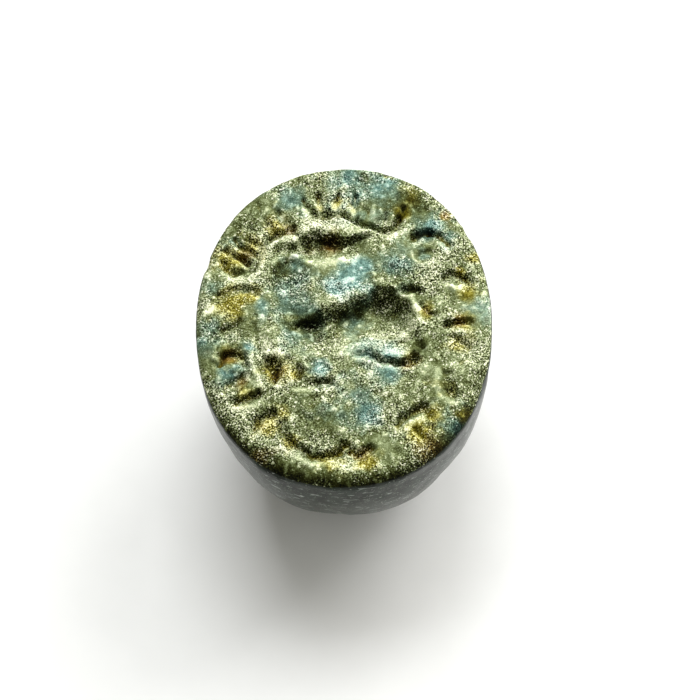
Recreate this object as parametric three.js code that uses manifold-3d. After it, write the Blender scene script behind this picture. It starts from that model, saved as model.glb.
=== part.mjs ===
// Bead seal: one pierced stone with a flat oval face and a domed back.
// The face is cut with a lying stag between two spread antlers, inside a ring of short strokes.
// Millimetres. The seal lies on a small flat spot on its back, so the carved face looks up (+Z),
// +X is the right of the face and +Y its top. The origin is the middle of the flat spot.

import * as THREE from "three";
import { mergeVertices } from "three/addons/utils/BufferGeometryUtils.js";
import Module from "manifold-3d";

const wasm = await Module();
wasm.setup();

// Whole stone
const FACE_WIDTH = 19.0;
const FACE_LENGTH = 22.94;
const OUTLINE_POWER = 2.14; // 2 is an ellipse, more is fuller at the corners
const DOME_DEPTH = 14.26; // from the face down to where the dome would close
const DOME_POWER = 2.25;
const FLAT_SPOT_SHARE = 0.33; // size of the flat spot as a share of the face
const FACE_CROWN = 0.2; // how far the middle of the face stands above its edge
const EDGE_WEAR = 0.7; // mean radius of the worn edge of the face
const EDGE_WEAR_CHANGE = 0.3; // more at the bottom of the face, less at the top

// Stringing hole, across the stone along X, cut from both sides
const HOLE_RADIUS = 3.0;
const HOLE_HEIGHT = 7.2;
const MOUTH_START = 6.6; // where the hole begins to widen, from the middle
const MOUTH_RADIUS = 3.5;
const CUTTER_HALF_LENGTH = 10.5;
const HOLE_SIDES = 28;

// Mesh
const RING_POINTS = 64;
const FACE_RINGS = 3; // from the middle of the face to where the worn edge begins
const EDGE_RINGS = 4;
const FLANK_RINGS = 10;
const FIRST_FLANK_RING = 2; // the worn edge takes the place of the rings before it
const FINE_POINTS = 9; // across a broad cut
const PLAIN_POINTS = 6; // across a narrow cut
const BROAD_REACH = 0.9; // a cut with at least this reach is a broad one
const SECTION_LENGTH = 0.75; // distance between two sections of a cutter, at most
const CUTTER_STEP = 0.12; // distance between two places of the cutter along its path
const PAST_LIP = 1.12; // a cutter is modelled a little past its lip, so that it comes out of the stone
const ROUND_END = [1.04, 0.7]; // sections of a round end, as shares of the reach
const CUTTER_TOP = 1; // height of a cutter's flat top above the face

// Cutter
const STEEP_SIDE = new THREE.Vector2(-0.25, 0.97); // the cuts are steepest towards the top of the face
const USUAL_LEAN = 0.5;
const USUAL_FULLNESS = 1.3;

// The stag, as the paths of a round cutter over the face, measured from the middle of the face.
// reach is the half width and depth the depth, each at the start and at the end of the path.
// lean moves the deepest line to the steep side, as a share of the reach; fullness flattens the floor.
const STAG_CUTS = {
  body: {
    path: [[-2.6, -0.5], [-0.6, -0.35], [1.2, 0.3], [2.6, 0.85]],
    reach: [1.5, 1.9],
    depth: [0.95, 1.35],
    lean: 0.68,
  },
  rump: { path: [[2.7, 0.9], [2.8, 0.4]], reach: [1.75, 1.65], depth: [1.4, 1.1], fullness: 2.4 },
  neck: {
    path: [[-3.3, 3.2], [-3.5, 1.8], [-3.1, 0.4]],
    reach: [1.1, 1.4],
    depth: [0.25, 0.5],
    lean: 0.3,
  },
  throat: {
    path: [[-3.6, 4.6], [-4.1, 3.8], [-4.5, 2.9]],
    reach: [0.7, 0.75],
    depth: [0.35, 0.3],
    lean: 0.2,
  },
  head: {
    path: [[-2.0, 6.2], [-0.8, 6.2], [0.4, 6.25], [1.4, 6.55]],
    reach: [0.85, 0.3],
    depth: [0.95, 0.5],
    fullness: 1.8,
  },
  cheek: { path: [[-1.9, 5.7], [-0.6, 5.6], [1.0, 5.7]], reach: [0.75, 0.7], depth: [0.5, 0.35], lean: 0.3 },
  muzzle: { path: [[-3.0, 5.75], [-3.7, 5.6], [-4.35, 5.4]], reach: [0.5, 0.35], depth: [0.5, 0.3] },
  ear: { path: [[0.2, 5.0], [0.8, 5.15], [1.4, 5.45]], reach: [0.22, 0.2], depth: [0.22, 0.2], lean: 0.2 },
  thigh: { path: [[4.3, -1.1], [3.6, -1.35], [2.8, -1.4]], reach: [0.28, 0.25], depth: [0.35, 0.2] },
  hock: { path: [[4.5, -0.7], [4.7, -1.3], [4.85, -1.9]], reach: [0.35, 0.32], depth: [0.35, 0.45] },
  shank: {
    path: [[4.4, -2.35], [3.8, -2.75], [3.0, -2.8], [2.1, -2.45], [1.3, -2.15], [0.6, -2.2]],
    reach: [0.42, 0.25],
    depth: [0.6, 0.25],
  },
  hindHoof: { path: [[0.9, -3.0], [1.3, -3.05], [1.7, -3.0]], reach: [0.32, 0.25], depth: [0.3, 0.2] },
  tailRoot: { path: [[3.75, 2.45], [4.2, 2.6], [4.8, 2.4]], reach: [0.35, 0.3], depth: [0.45, 0.35] },
  tail: { path: [[4.95, 1.4], [5.25, 0.85], [5.9, 0.5]], reach: [0.25, 0.25], depth: [0.28, 0.3] },
  foreleg: {
    path: [[-5.0, -2.1], [-4.75, -2.9], [-4.5, -3.6]],
    reach: [0.35, 0.42],
    depth: [0.35, 0.55],
    lean: 0.2,
  },
  knee: { path: [[-4.6, -3.0], [-4.1, -2.6], [-3.5, -2.2]], reach: [0.35, 0.3], depth: [0.5, 0.35] },
  farForeleg: { path: [[-5.4, -0.7], [-5.55, -1.7]], reach: [0.4, 0.35], depth: [0.25, 0.2], lean: 0.2 },
  pastern: { path: [[-3.1, -3.6], [-2.8, -3.0]], reach: [0.35, 0.3], depth: [0.25, 0.2] },
  hoof: { path: [[-2.5, -4.05], [-1.8, -4.05], [-1.0, -3.95]], reach: [0.3, 0.32], depth: [0.4, 0.5] },
};

// Each antler is a beam with a row of tines on its upper side
const ANTLER_CUTS = {
  rightBeam: {
    path: [
      [-1.95, 8.0],
      [-0.9, 8.1],
      [0.1, 7.9],
      [1.0, 7.5],
      [1.9, 7.0],
      [2.8, 6.8],
      [3.5, 7.1],
      [3.8, 7.9],
    ],
    reach: [0.42, 0.36],
    depth: [0.5, 0.42],
    fullness: 1.8,
  },
  leftRoot: { path: [[-3.4, 7.1], [-4.1, 6.95], [-4.8, 6.55]], reach: [0.4, 0.35], depth: [0.5, 0.4] },
  leftBeam: {
    path: [[-5.0, 6.1], [-5.5, 5.2], [-6.0, 4.4], [-6.7, 3.95], [-7.4, 4.2], [-7.95, 5.0]],
    reach: [0.35, 0.32],
    depth: [0.35, 0.35],
    lean: 0.2,
  },
};
const RIGHT_TINES = [
  [[-2.1, 8.4], [-2.6, 9.3]],
  [[-1.4, 8.5], [-1.5, 9.2], [-1.6, 9.9]],
  [[-0.4, 8.5], [-0.3, 9.2], [-0.25, 9.75]],
  [[0.65, 8.2], [0.75, 8.9], [0.85, 9.6]],
  [[1.75, 7.7], [1.7, 8.3]],
  [[2.7, 7.4], [2.65, 8.2]],
  [[3.9, 8.2], [3.95, 8.6]],
];
const LEFT_TINES = [
  [[-3.9, 7.6], [-4.25, 8.7]],
  [[-4.7, 7.2], [-5.15, 7.9]],
  [[-5.2, 5.7], [-6.1, 6.4]],
  [[-5.8, 5.4], [-6.4, 5.9], [-6.95, 6.6]],
  [[-6.25, 4.75], [-6.9, 5.25], [-7.55, 5.95]],
];
const RIGHT_TINE_CUT = { reach: [0.3, 0.25], depth: [0.22, 0.34] };
const LEFT_TINE_CUT = { reach: [0.32, 0.26], depth: [0.42, 0.3] };

// Border: plain single strokes round the face, straight or bent
const BORDER_STROKES = [
  [[-7.9, 2.3], [-7.0, 2.6], [-5.8, 2.6]],
  [[-7.9, -0.1], [-7.3, 0.0], [-6.9, 0.6]],
  [[-8.2, -2.45], [-7.9, -2.0], [-7.4, -1.9], [-6.8, -2.15], [-6.4, -2.8]],
  [[-7.8, -4.15], [-7.2, -3.85], [-6.6, -3.5]],
  [[-7.0, -5.1], [-6.3, -5.05], [-5.6, -4.6]],
  [[-5.75, -7.1], [-5.4, -6.5], [-4.7, -6.15]],
  [[-4.0, -6.8], [-3.75, -7.7], [-3.2, -8.4], [-2.4, -8.9], [-1.5, -9.15], [-0.7, -9.0], [-0.1, -8.4]],
  [[0.1, -8.9], [0.6, -9.15], [1.1, -9.0], [1.6, -8.5]],
  [[3.1, -7.1], [3.7, -6.5], [4.4, -6.1], [5.0, -5.95]],
  [[4.9, -6.1], [5.4, -6.6]],
  [[4.3, -7.3], [4.75, -8.2]],
  [[6.4, -3.6], [6.5, -4.3], [6.8, -5.0]],
  [[6.5, -0.15], [7.2, 0.1], [7.95, 0.0]],
  [[7.0, -0.9], [7.6, -1.6]],
  [[6.4, 3.3], [7.0, 3.45], [7.8, 3.1]],
  [[6.6, 2.4], [6.7, 1.6]],
  [[4.5, 6.3], [5.1, 6.7], [5.8, 6.6], [6.4, 6.1], [6.75, 5.6]],
  [[4.75, 4.75], [5.1, 5.1], [5.7, 5.2]],
];
const BORDER_CUT = { reach: [0.4, 0.36], depth: [0.38, 0.36] };

// Distance from the middle to the outline of the face, in the direction of an angle
function outlineRadius(angle) {
  const x = Math.abs(Math.cos(angle)) / (FACE_WIDTH / 2);
  const y = Math.abs(Math.sin(angle)) / (FACE_LENGTH / 2);
  return (x ** OUTLINE_POWER + y ** OUTLINE_POWER) ** (-1 / OUTLINE_POWER);
}

function mix(pair, share) {
  return pair[0] + (pair[1] - pair[0]) * share;
}

// A cut becomes a row of round marks, one for each place of the cutter
function marksAlong(curve, { reach, depth, lean = USUAL_LEAN, fullness = USUAL_FULLNESS }) {
  const steps = Math.ceil(curve.getLength() / CUTTER_STEP);
  return curve.getSpacedPoints(steps).map((middle, i) => {
    const markReach = mix(reach, i / steps);
    return {
      middle,
      reach: markReach,
      depth: mix(depth, i / steps),
      deepest: STEEP_SIDE.clone().multiplyScalar(lean * markReach),
      fullness,
    };
  });
}

// Depth of one round mark at a place: full at its deepest point, nothing at its lip and less outside
function markDepth(mark, x, y) {
  const alongX = x - mark.middle.x - mark.deepest.x;
  const alongY = y - mark.middle.y - mark.deepest.y;
  const distance = Math.hypot(alongX, alongY);
  if (distance === 0) return mark.depth;
  const towards = (mark.deepest.x * alongX + mark.deepest.y * alongY) / distance;
  const toLip = Math.sqrt(towards ** 2 - mark.deepest.lengthSq() + mark.reach ** 2) - towards;
  return mark.depth * (1 - (distance / toLip) ** mark.fullness);
}

function cutDepth(marks, x, y) {
  return Math.max(...marks.map((mark) => markDepth(mark, x, y)));
}

// Dome: share of the face outline and drop below the face, for a turn from the face (0) to the pole
function domeShare(turn) {
  return Math.cos(turn) ** (2 / DOME_POWER);
}

function domeDrop(turn) {
  return DOME_DEPTH * Math.sin(turn) ** (2 / DOME_POWER);
}

const FLAT_SPOT_TURN = Math.acos(FLAT_SPOT_SHARE ** (DOME_POWER / 2));
const FACE_HEIGHT = domeDrop(FLAT_SPOT_TURN);

function edgeRadius(angle) {
  return EDGE_WEAR - EDGE_WEAR_CHANGE * Math.sin(angle);
}

// Height of the uncut face at a place: a low crown that rolls down at the worn edge
function faceHeight(x, y) {
  const angle = Math.atan2(y, x);
  const outline = outlineRadius(angle);
  const radius = edgeRadius(angle);
  const fromMiddle = Math.hypot(x, y);
  const intoEdge = Math.min(Math.max(radius - (outline - fromMiddle), 0), radius);
  const drop = radius - Math.sqrt(radius ** 2 - intoEdge ** 2);
  return FACE_HEIGHT + FACE_CROWN * (1 - (fromMiddle / outline) ** 2) - drop;
}

// Closed body through loops with the same number of points. Seen along the way from the first loop
// to the last, each loop runs counter-clockwise.
function closedLoft(loops) {
  const size = loops[0].length;
  const points = loops.flat();
  const triangles = [];
  const corner = (loop, i) => loop * size + (i % size);
  for (let loop = 0; loop + 1 < loops.length; loop += 1) {
    for (let i = 0; i < size; i += 1) {
      triangles.push(corner(loop, i), corner(loop + 1, i), corner(loop + 1, i + 1));
      triangles.push(corner(loop, i), corner(loop + 1, i + 1), corner(loop, i + 1));
    }
  }
  const last = loops.length - 1;
  for (const end of [0, last]) {
    const middle = points.length;
    const sum = loops[end].reduce((total, point) => total.add(point), new THREE.Vector3());
    points.push(sum.divideScalar(size));
    for (let i = 0; i < size; i += 1) {
      const step = end === last ? [i + 1, i] : [i, i + 1];
      triangles.push(middle, corner(end, step[0]), corner(end, step[1]));
    }
  }
  const geometry = new THREE.BufferGeometry().setFromPoints(points);
  geometry.setIndex(triangles);
  return geometry;
}

// One ring of the stone: radius and height are worked out for each angle round it
function ring(radius, height) {
  return Array.from({ length: RING_POINTS }, (_, i) => {
    const angle = (2 * Math.PI * i) / RING_POINTS;
    const x = radius(angle) * Math.cos(angle);
    const y = radius(angle) * Math.sin(angle);
    return new THREE.Vector3(x, y, height(x, y));
  });
}

function stoneGeometry() {
  const rings = [];
  for (let i = 1; i <= FACE_RINGS; i += 1) {
    rings.push(ring((angle) => ((outlineRadius(angle) - edgeRadius(angle)) * i) / FACE_RINGS, faceHeight));
  }
  for (let i = 1; i <= EDGE_RINGS; i += 1) {
    const turn = (Math.PI / 2) * (i / EDGE_RINGS);
    rings.push(ring((angle) => outlineRadius(angle) - edgeRadius(angle) * (1 - Math.sin(turn)), faceHeight));
  }
  for (let i = FIRST_FLANK_RING; i <= FLANK_RINGS; i += 1) {
    const turn = (FLAT_SPOT_TURN * i) / FLANK_RINGS;
    rings.push(ring((angle) => domeShare(turn) * outlineRadius(angle), () => FACE_HEIGHT - domeDrop(turn)));
  }
  return closedLoft(rings);
}

// One section of a cutter: over the floor of the cut from its left to its right, and back above the face
function cutterSection({ middle, tangent, halfChord, deepest, marks, count }) {
  const side = new THREE.Vector2(-tangent.y, tangent.x);
  const centre = deepest.dot(side);
  const floor = Array.from({ length: count }, (_, i) => {
    const share = 1 - (2 * i) / (count - 1);
    const across = centre + Math.abs(share) * (Math.sign(share) * halfChord - centre);
    const x = middle.x + side.x * across;
    const y = middle.y + side.y * across;
    return new THREE.Vector3(x, y, faceHeight(x, y) - cutDepth(marks, x, y));
  });
  const left = floor[0].clone().setZ(FACE_HEIGHT + CUTTER_TOP);
  const right = floor[count - 1].clone().setZ(FACE_HEIGHT + CUTTER_TOP);
  return [...floor, right, left];
}

function cutterGeometry(cut) {
  const curve = new THREE.SplineCurve(cut.path.map(([x, y]) => new THREE.Vector2(x, y)));
  const marks = marksAlong(curve, cut);
  const count = Math.max(...cut.reach) >= BROAD_REACH ? FINE_POINTS : PLAIN_POINTS;
  const steps = cut.path.length > 2 ? Math.ceil(curve.getLength() / SECTION_LENGTH) : 1;
  const lean = cut.lean ?? USUAL_LEAN;
  const section = (share, pastEnd) => {
    const tangent = curve.getTangentAt(share);
    const reach = mix(cut.reach, share);
    const middle = curve.getPointAt(share).addScaledVector(tangent, pastEnd * reach);
    const halfChord = reach * Math.sqrt(PAST_LIP ** 2 - pastEnd ** 2);
    const deepest = STEEP_SIDE.clone().multiplyScalar((lean * halfChord) / PAST_LIP);
    return cutterSection({ middle, tangent, halfChord, deepest, marks, count });
  };
  return closedLoft([
    ...ROUND_END.map((share) => section(0, -share)),
    ...Array.from({ length: steps + 1 }, (_, i) => section(i / steps, 0)),
    ...ROUND_END.toReversed().map((share) => section(1, share)),
  ]);
}

// Hole cutter: a turned rod along X, wider at the two mouths
function holeGeometry() {
  const profile = [
    [0, -CUTTER_HALF_LENGTH],
    [MOUTH_RADIUS, -CUTTER_HALF_LENGTH],
    [HOLE_RADIUS, -MOUTH_START],
    [HOLE_RADIUS, MOUTH_START],
    [MOUTH_RADIUS, CUTTER_HALF_LENGTH],
    [0, CUTTER_HALF_LENGTH],
  ].map(([radius, along]) => new THREE.Vector2(radius, along));
  const geometry = new THREE.LatheGeometry(profile, HOLE_SIDES);
  geometry.rotateZ(-Math.PI / 2);
  geometry.translate(0, 0, HOLE_HEIGHT);
  return geometry;
}

function toSolid(geometry) {
  geometry.deleteAttribute("normal");
  geometry.deleteAttribute("uv");
  const closed = mergeVertices(geometry);
  return new wasm.Manifold(
    new wasm.Mesh({
      numProp: 3,
      vertProperties: new Float32Array(closed.attributes.position.array),
      triVerts: new Uint32Array(closed.index.array),
    }),
  );
}

function toGeometry(solid) {
  const { vertProperties, triVerts } = solid.getMesh();
  const geometry = new THREE.BufferGeometry();
  geometry.setAttribute("position", new THREE.BufferAttribute(vertProperties, 3));
  geometry.setIndex(new THREE.BufferAttribute(triVerts, 1));
  geometry.computeVertexNormals();
  return geometry;
}

function carvedStone() {
  const cuts = [
    ...Object.values(STAG_CUTS),
    ...Object.values(ANTLER_CUTS),
    ...RIGHT_TINES.map((path) => ({ path, ...RIGHT_TINE_CUT })),
    ...LEFT_TINES.map((path) => ({ path, ...LEFT_TINE_CUT })),
    ...BORDER_STROKES.map((path) => ({ path, ...BORDER_CUT })),
  ];
  const carving = cuts.map((cut) => toSolid(cutterGeometry(cut))).reduce((all, cutter) => all.add(cutter));
  return toSolid(stoneGeometry()).subtract(toSolid(holeGeometry())).subtract(carving);
}

const stoneMaterial = new THREE.MeshStandardMaterial({ color: "#5f6e64", roughness: 0.7, metalness: 0 });

const stone = new THREE.Mesh(toGeometry(carvedStone()), stoneMaterial);
stone.name = "seal_stone";

const group = new THREE.Group();
group.add(stone);

export default group;
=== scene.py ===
"""A bead seal: one pierced stone with a carved oval face and a domed back, lying on its back.

The face carries a lying stag between two spread antlers, in a ring of short strokes.
Sizes are in millimetres, measured from the middle of the flat spot that the stone lies on,
and become metres only where Blender takes them.
"""

import math

import bpy
import numpy as np
from mathutils import Matrix, Vector


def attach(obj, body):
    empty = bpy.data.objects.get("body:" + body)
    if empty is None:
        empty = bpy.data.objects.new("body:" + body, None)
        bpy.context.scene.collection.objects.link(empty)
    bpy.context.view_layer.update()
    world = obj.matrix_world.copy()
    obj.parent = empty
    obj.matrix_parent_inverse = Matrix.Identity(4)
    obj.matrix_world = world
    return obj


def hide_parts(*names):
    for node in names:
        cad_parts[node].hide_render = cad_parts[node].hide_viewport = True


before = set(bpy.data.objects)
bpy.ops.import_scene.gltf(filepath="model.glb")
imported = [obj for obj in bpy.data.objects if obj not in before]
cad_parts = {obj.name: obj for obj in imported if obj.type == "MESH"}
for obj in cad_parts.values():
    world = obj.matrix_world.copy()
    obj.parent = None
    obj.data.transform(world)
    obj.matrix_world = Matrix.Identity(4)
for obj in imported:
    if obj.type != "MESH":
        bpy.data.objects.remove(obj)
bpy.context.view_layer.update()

MM = 0.001

# Whole stone, the sizes of the frame
FACE_WIDTH = 19.0
FACE_LENGTH = 22.94
OUTLINE_POWER = 2.14  # 2 is an ellipse, more is fuller at the corners
DOME_DEPTH = 14.26  # from the face down to where the dome would close
DOME_POWER = 2.25
FLAT_SPOT_SHARE = 0.33  # size of the flat spot as a share of the face
FACE_CROWN = 0.2  # how far the middle of the face stands above its edge
EDGE_WEAR = 0.7  # mean radius of the worn edge of the face
EDGE_WEAR_CHANGE = 0.3  # more at the bottom of the face, less at the top
HOLE_RADIUS = 3.0
HOLE_HEIGHT = 7.2
MOUTH_START = 6.6  # where the hole begins to widen, from the middle
MOUTH_RADIUS = 3.5
CUTTER_HALF_LENGTH = 10.5

FLAT_SPOT_TURN = math.acos(FLAT_SPOT_SHARE ** (DOME_POWER / 2))
FACE_HEIGHT = DOME_DEPTH * math.sin(FLAT_SPOT_TURN) ** (2 / DOME_POWER)

# Mesh
FACE_CELLS = 224
EDGE_START = 0.93  # share of the way out from the middle of the face where the worn edge begins
FLANK_LOOPS = 40
FINER = 4  # each cell of the first rough mesh is cut into this many, both ways
SPOT_LOOP = 0.5  # a loop on the flat spot, as a share of its size
HOLE_SIDES = 72
HOLE_LOOPS = 42
NEARLY_ALL = 0.999  # tells the loops on the flat spot from the loop round it
NEARLY_NONE = 1e-4

# Wear of the flank and back: waves of a length and a depth, altogether inwards
FLANK_SEED = 11
FLANK_WAVES = [(5.0, 0.05), (1.2, 0.012)]
FLANK_INWARDS = 0.06
WAVE_COUNT = 24
WAVE_SPREAD = (0.7, 1.4)
FLANK_MIDDLE = 0.6  # height that the wear goes towards, as a share of the face's height
WEAR_BELOW_FACE = 0.3
WEAR_FADE = 1.0
WEAR_ABOVE_SPOT = 0.6
CHIP_INSIDE = 0.15  # a chip's middle, from the outline and from the face
CHIP_BELOW = 0.25
CHIP_SLOPE = 0.8

# Wear of the hole: the drill's rings, and the rubbed rim of its mouths
DRILL_SEED = 5
DRILL_RINGS = 0.03
RUBBED_RIM_INSIDE = 0.15
RUBBED_RIM_WIDTH = 0.4
RUBBED_RIM_PASSES = 12

# Carving: the paths of a round cutter over the face, from the middle of the carving. reach is the half width
# and depth the depth, each at the start and at the end of the path. lean moves the deepest line to the
# steep side, as a share of the reach; fullness flattens the floor.
CARVING_SHIFT = (0.1, -0.34)  # middle of the carving, from the middle of the face
STEEP_SIDE = np.array([-0.25, 0.97])
CUTTER_STEP = 0.08
USUAL_LEAN = 0.5
USUAL_FULLNESS = 1.3
CUT_MEETING = 6  # how sharply two cuts meet
FINE_MEETING = 4
OUTER_DEPTH = 1.25  # antlers and border are this many times as deep as their rows say
CUT_SOFTNESS = 0.05
CUT_CHANGE = 0.12  # how much the depth of a cut changes along it
RIDGE_SOFTNESS = 0.1
PALE_WIDTH = 0.85
PALE_FULLNESS = 2.0

STAG_CUTS = [
    # Body, rump, neck and shoulder
    dict(
        path=[(-2.6, -0.5), (-0.6, -0.35), (1.2, 0.3), (2.6, 0.85)],
        reach=(1.5, 1.9), depth=(0.95, 1.35), lean=0.68,
    ),
    dict(path=[(2.7, 0.9), (2.8, 0.4)], reach=(1.75, 1.65), depth=(1.4, 1.1), lean=0.5, fullness=2.4),
    dict(path=[(-3.1, -0.1), (-2.0, -0.15)], reach=(1.0, 1.3), depth=(0.7, 1.05), lean=0.6),
    dict(path=[(-3.2, 3.6), (-3.5, 1.8), (-3.1, 0.6)], reach=(1.2, 1.5), depth=(0.4, 0.6), lean=0.3),
    dict(path=[(-3.6, 4.6), (-4.1, 3.8), (-4.5, 2.9)], reach=(0.75, 0.8), depth=(0.5, 0.4), lean=0.2),
    # Head: its hollow, the floor below it, muzzle and ear
    dict(
        path=[(-2.1, 5.95), (-0.8, 5.93), (0.4, 6.05), (1.5, 6.45)],
        reach=(0.85, 0.32), depth=(0.95, 0.5), lean=0.55, fullness=1.8,
    ),
    dict(path=[(-1.9, 5.7), (-0.6, 5.6), (1.0, 5.7)], reach=(0.75, 0.7), depth=(0.5, 0.35), lean=0.3),
    dict(path=[(-3.0, 5.75), (-3.7, 5.6), (-4.35, 5.4)], reach=(0.5, 0.35), depth=(0.5, 0.3)),
    dict(path=[(0.2, 5.0), (0.8, 5.15), (1.4, 5.45)], reach=(0.22, 0.2), depth=(0.22, 0.2), lean=0.2),
    # Hind leg
    dict(path=[(4.5, -0.7), (4.7, -1.3), (4.85, -1.9)], reach=(0.35, 0.32), depth=(0.35, 0.45)),
    dict(
        path=[(4.4, -2.35), (3.8, -2.75), (3.0, -2.8), (2.1, -2.45), (1.3, -2.15), (0.6, -2.2)],
        reach=(0.42, 0.25), depth=(0.6, 0.25),
    ),
    dict(path=[(4.3, -1.1), (3.6, -1.35), (2.8, -1.4)], reach=(0.28, 0.25), depth=(0.35, 0.2)),
    # Tail
    dict(path=[(3.75, 2.45), (4.2, 2.6), (4.8, 2.4)], reach=(0.35, 0.3), depth=(0.45, 0.35)),
    dict(path=[(4.95, 1.4), (5.25, 0.85), (5.9, 0.5)], reach=(0.25, 0.25), depth=(0.28, 0.3)),
    # Forelegs, the hind hoof and a mark below the belly
    dict(
        path=[(-5.0, -2.1), (-4.75, -2.9), (-4.5, -3.6)],
        reach=(0.35, 0.42), depth=(0.35, 0.55), lean=0.2,
    ),
    dict(path=[(-4.6, -3.0), (-4.1, -2.6), (-3.5, -2.2)], reach=(0.35, 0.3), depth=(0.5, 0.35)),
    dict(path=[(-5.4, -0.7), (-5.55, -1.7)], reach=(0.4, 0.35), depth=(0.25, 0.2), lean=0.2),
    dict(path=[(-3.1, -3.6), (-2.8, -3.0)], reach=(0.35, 0.3), depth=(0.25, 0.2)),
    dict(path=[(-2.5, -4.05), (-1.8, -4.05), (-1.0, -3.95)], reach=(0.3, 0.32), depth=(0.4, 0.5)),
    dict(path=[(0.9, -3.0), (1.3, -3.05), (1.7, -3.0)], reach=(0.32, 0.25), depth=(0.3, 0.2)),
    dict(path=[(-0.8, -2.6), (-0.3, -2.5)], reach=(0.3, 0.25), depth=(0.15, 0.15)),
]
ANTLER_CUTS = [
    # Right antler: its beam, then its tines from the left
    dict(
        path=[
            (-1.95, 8.2), (-0.9, 8.3), (0.1, 8.1), (1.0, 7.7), (1.9, 7.15), (2.8, 6.9), (3.5, 7.2),
            (3.8, 7.9),
        ],
        reach=(0.34, 0.34), depth=(0.5, 0.45), lean=0.5, fullness=1.8,
    ),
    dict(path=[(-2.1, 8.4), (-2.6, 9.3)], reach=(0.25, 0.22), depth=(0.2, 0.3)),
    dict(path=[(-1.4, 8.5), (-1.5, 9.2), (-1.6, 9.9)], reach=(0.32, 0.25), depth=(0.25, 0.4)),
    dict(path=[(-0.4, 8.5), (-0.3, 9.2), (-0.25, 9.75)], reach=(0.34, 0.25), depth=(0.25, 0.38)),
    dict(path=[(0.65, 8.2), (0.75, 8.9), (0.85, 9.6)], reach=(0.3, 0.25), depth=(0.25, 0.38)),
    dict(path=[(1.75, 7.7), (1.7, 8.3)], reach=(0.28, 0.25), depth=(0.18, 0.22)),
    dict(path=[(2.7, 7.4), (2.65, 8.2)], reach=(0.3, 0.25), depth=(0.18, 0.25)),
    dict(path=[(3.9, 8.2), (3.95, 8.6)], reach=(0.25, 0.22), depth=(0.25, 0.25)),
    # Left antler: its root, its beam and its tines
    dict(path=[(-3.4, 7.1), (-4.1, 6.95), (-4.8, 6.55)], reach=(0.4, 0.35), depth=(0.5, 0.4)),
    dict(
        path=[(-5.0, 6.1), (-5.5, 5.2), (-6.0, 4.4), (-6.7, 3.95), (-7.4, 4.2), (-7.95, 5.0)],
        reach=(0.35, 0.32), depth=(0.35, 0.35), lean=0.2,
    ),
    dict(path=[(-3.9, 7.6), (-4.25, 8.7)], reach=(0.36, 0.2), depth=(0.4, 0.2), lean=0.2),
    dict(path=[(-4.7, 7.2), (-5.15, 7.9)], reach=(0.25, 0.2), depth=(0.3, 0.25), lean=0.2),
    dict(path=[(-5.2, 5.7), (-6.1, 6.4)], reach=(0.28, 0.22), depth=(0.35, 0.25)),
    dict(path=[(-5.8, 5.4), (-6.4, 5.9), (-6.95, 6.6)], reach=(0.32, 0.28), depth=(0.42, 0.35)),
    dict(path=[(-6.25, 4.75), (-6.9, 5.25), (-7.55, 5.95)], reach=(0.36, 0.28), depth=(0.5, 0.38)),
]
# Border: plain single strokes, not letters
BORDER_CUTS = [
    dict(path=[(-7.9, 2.3), (-7.0, 2.6), (-5.8, 2.6)], reach=(0.5, 0.5), depth=(0.28, 0.32)),
    dict(path=[(-7.7, -0.1), (-7.1, 0.0), (-6.7, 0.6)], reach=(0.45, 0.4), depth=(0.25, 0.2)),
    dict(
        path=[(-8.0, -2.45), (-7.7, -2.0), (-7.2, -1.9), (-6.6, -2.15), (-6.2, -2.8)],
        reach=(0.35, 0.32), depth=(0.45, 0.35),
    ),
    dict(path=[(-7.6, -4.15), (-7.0, -3.85), (-6.4, -3.5)], reach=(0.35, 0.35), depth=(0.3, 0.4)),
    dict(path=[(-6.8, -5.1), (-6.1, -5.05), (-5.4, -4.6)], reach=(0.4, 0.38), depth=(0.45, 0.45)),
    dict(path=[(-5.75, -7.1), (-5.4, -6.5), (-4.7, -6.15)], reach=(0.38, 0.4), depth=(0.35, 0.45)),
    dict(
        path=[
            (-4.0, -6.8), (-3.75, -7.7), (-3.2, -8.4), (-2.4, -8.9), (-1.5, -9.15), (-0.7, -9.0),
            (-0.1, -8.4),
        ],
        reach=(0.35, 0.42), depth=(0.25, 0.5),
    ),
    dict(path=[(0.1, -8.9), (0.6, -9.15), (1.1, -9.0), (1.6, -8.5)], reach=(0.4, 0.35), depth=(0.5, 0.4)),
    dict(
        path=[(3.1, -7.1), (3.7, -6.5), (4.4, -6.1), (5.0, -5.95)],
        reach=(0.35, 0.35), depth=(0.4, 0.35),
    ),
    dict(path=[(4.9, -6.1), (5.4, -6.6)], reach=(0.3, 0.3), depth=(0.25, 0.3)),
    dict(path=[(4.3, -7.3), (4.75, -8.2)], reach=(0.32, 0.3), depth=(0.3, 0.35), lean=0.2),
    dict(path=[(6.4, -3.6), (6.5, -4.3), (6.8, -5.0)], reach=(0.55, 0.5), depth=(0.2, 0.28), lean=0.1),
    dict(path=[(6.5, -0.15), (7.2, 0.1), (7.95, 0.0)], reach=(0.32, 0.3), depth=(0.45, 0.4)),
    dict(path=[(7.0, -0.9), (7.6, -1.6)], reach=(0.35, 0.35), depth=(0.22, 0.25)),
    dict(path=[(6.4, 3.3), (7.0, 3.45), (7.8, 3.1)], reach=(0.4, 0.4), depth=(0.4, 0.4)),
    dict(path=[(6.6, 2.4), (6.7, 1.6)], reach=(0.3, 0.3), depth=(0.18, 0.18), lean=0.1),
    dict(
        path=[(4.5, 6.3), (5.1, 6.7), (5.8, 6.6), (6.4, 6.1), (6.75, 5.6)],
        reach=(0.4, 0.3), depth=(0.5, 0.25),
    ),
    dict(path=[(4.75, 4.75), (5.1, 5.1), (5.7, 5.2)], reach=(0.35, 0.3), depth=(0.25, 0.25)),
]

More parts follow.
